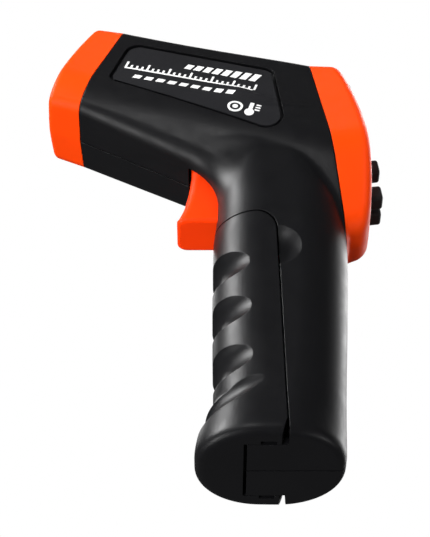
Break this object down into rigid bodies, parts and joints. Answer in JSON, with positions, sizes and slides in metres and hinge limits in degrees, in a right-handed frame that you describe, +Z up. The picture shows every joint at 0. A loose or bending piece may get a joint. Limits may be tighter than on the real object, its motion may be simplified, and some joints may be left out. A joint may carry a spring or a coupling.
{
  "type": "infrared thermometer",
  "caption": "Pistol-grip non-contact infrared thermometer with a lens hood, trigger, battery door, display window and keys.",
  "frame": {"origin": "centre of the grip's flat base", "axes": "+X forward to the lens hood, +Y to the instrument's left, +Z up the grip"},
  "size_m": [0.1078, 0.043, 0.1673],
  "materials": {
    "body_black": "satin",
    "accent_orange": "satin",
    "trigger_orange": "satin",
    "key_rubber": "matte",
    "barrel_black": "matte",
    "lens_poly": "satin",
    "metal_steel": "brushed",
    "metal_chrome": "polished",
    "metal_brass": "satin",
    "board_green": "gloss",
    "chip_black": "matte",
    "window_clear": "gloss",
    "lcd_glass": "gloss",
    "white_plastic": "satin",
    "label_print": "satin",
    "battery_case": "satin",
    "foam_grey": "matte",
    "wire_red": "gloss",
    "wire_black": "gloss"
  },
  "bodies": {
    "handset": {"housing_left": "body_black", "housing_right": "body_black", "nose_bezel": "accent_orange", "rear_bezel": "accent_orange", "label_left": "label_print", "label_right": "label_print", "lens_barrel": "barrel_black", "optics_holder": "barrel_black", "fresnel_lens": "lens_poly", "lens_retainer": "barrel_black", "thermopile": "metal_chrome", "sensor_board": "board_green", "laser_module": "metal_brass", "laser_window": "window_clear", "display_window": "window_clear", "display_board": "board_green", "lcd_panel": "lcd_glass", "backlight_panel": "white_plastic", "lcd_frame": "white_plastic", "key_switches": "metal_steel", "board_chips": "chip_black", "buzzer": "chip_black", "trigger_pin": "metal_steel", "trigger_spring": "metal_steel", "trigger_switch": "chip_black", "battery": "battery_case", "battery_terminals": "metal_steel", "battery_snap": "chip_black", "battery_foam": "foam_grey", "battery_lead_red": "wire_red", "battery_lead_black": "wire_black", "sensor_cable": "wire_black", "housing_screws": "metal_steel", "board_screws": "metal_steel"},
    "trigger_body": {"trigger": "trigger_orange"},
    "plunger_body": {"switch_plunger": "white_plastic"},
    "door_body": {"battery_door": "body_black"},
    "key_top_body": {"key_top": "key_rubber"},
    "key_left_body": {"key_left": "key_rubber"},
    "key_right_body": {"key_right": "key_rubber"}
  },
  "joints": [
    {"name": "trigger_pull", "type": "hinge", "parent": "handset", "child": "trigger_body", "pos_m": [0.0205, 0, 0.1105], "axis": [0, 1, 0], "range_deg": [0, 9], "stiffness_Nm_per_rad": 0.35, "springref_deg": -2.86},
    {"name": "plunger_slide", "type": "slide", "parent": "handset", "child": "plunger_body", "axis": [-1, 0, 0], "range_m": [0, 0.003]},
    {"name": "door_hinge", "type": "hinge", "parent": "handset", "child": "door_body", "pos_m": [0.0007, 0, 0.0044], "axis": [0, 1, 0], "range_deg": [0, 90]},
    {"name": "key_top_press", "type": "slide", "parent": "handset", "child": "key_top_body", "axis": [0.9914, 0, -0.1305], "range_m": [0, 0.0008], "stiffness_N_per_m": 600, "springref_m": -0.0003},
    {"name": "key_left_press", "type": "slide", "parent": "handset", "child": "key_left_body", "axis": [0.9914, 0, -0.1305], "range_m": [0, 0.0008], "stiffness_N_per_m": 600, "springref_m": -0.0003},
    {"name": "key_right_press", "type": "slide", "parent": "handset", "child": "key_right_body", "axis": [0.9914, 0, -0.1305], "range_m": [0, 0.0008], "stiffness_N_per_m": 600, "springref_m": -0.0003}
  ],
  "couplings": [
    {"joint": "plunger_slide", "follows": "trigger_pull", "m_per_rad": 0.0153}
  ]
}
